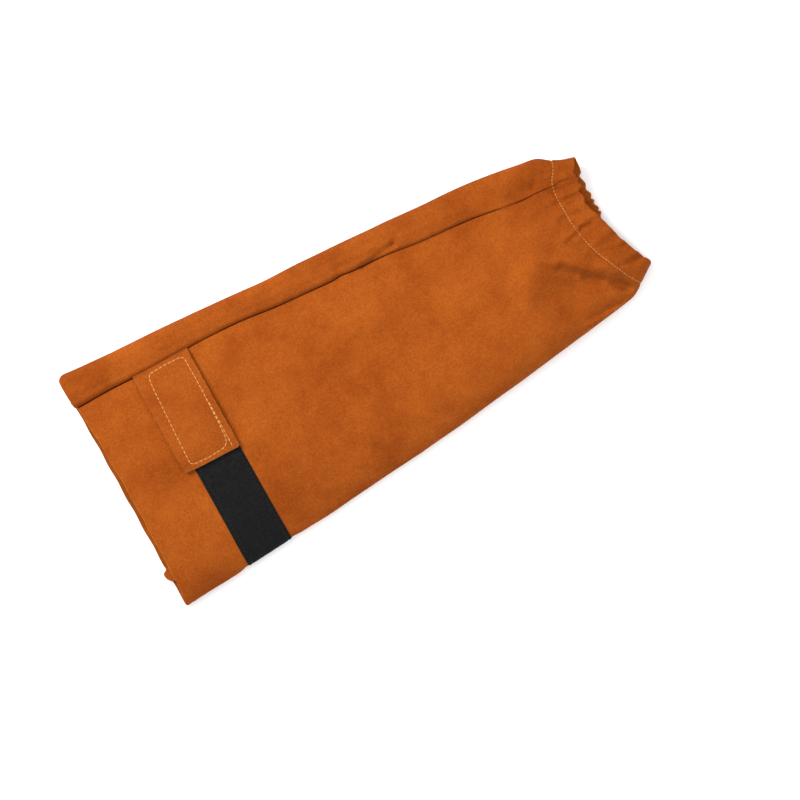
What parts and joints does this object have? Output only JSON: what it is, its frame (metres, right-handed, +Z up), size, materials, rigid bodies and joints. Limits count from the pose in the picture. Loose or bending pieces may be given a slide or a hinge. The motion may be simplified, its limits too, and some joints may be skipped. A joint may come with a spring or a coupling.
{
  "type": "welding sleeve",
  "caption": "Tapering protective arm sleeve in split leather, lying flat, with an open mouth, a gathered elastic cuff and a hook-and-loop strap tab.",
  "frame": {"origin": "on the surface that the sleeve lies on, under the middle of its box", "axes": "+X along the sleeve from the mouth to the cuff, +Y across it to the ridge seam, +Z up"},
  "size_m": [0.4704, 0.214, 0.0311],
  "materials": {
    "suede_front": "golden-brown split leather with a short nap, quite matt",
    "suede_back": "golden-brown split leather with a short nap, quite matt",
    "loop_tape": "black woven tape with a fine loop pile",
    "hook_tape": "black woven tape with stiff hooks",
    "suede_tab": "golden-brown split leather with a short nap, quite matt"
  },
  "bodies": {
    "root": {"front_panel": "suede_front", "back_panel": "suede_back", "loop_band": "loop_tape", "hook_patch": "hook_tape", "strap_tab": "suede_tab"}
  },
  "joints": []
}
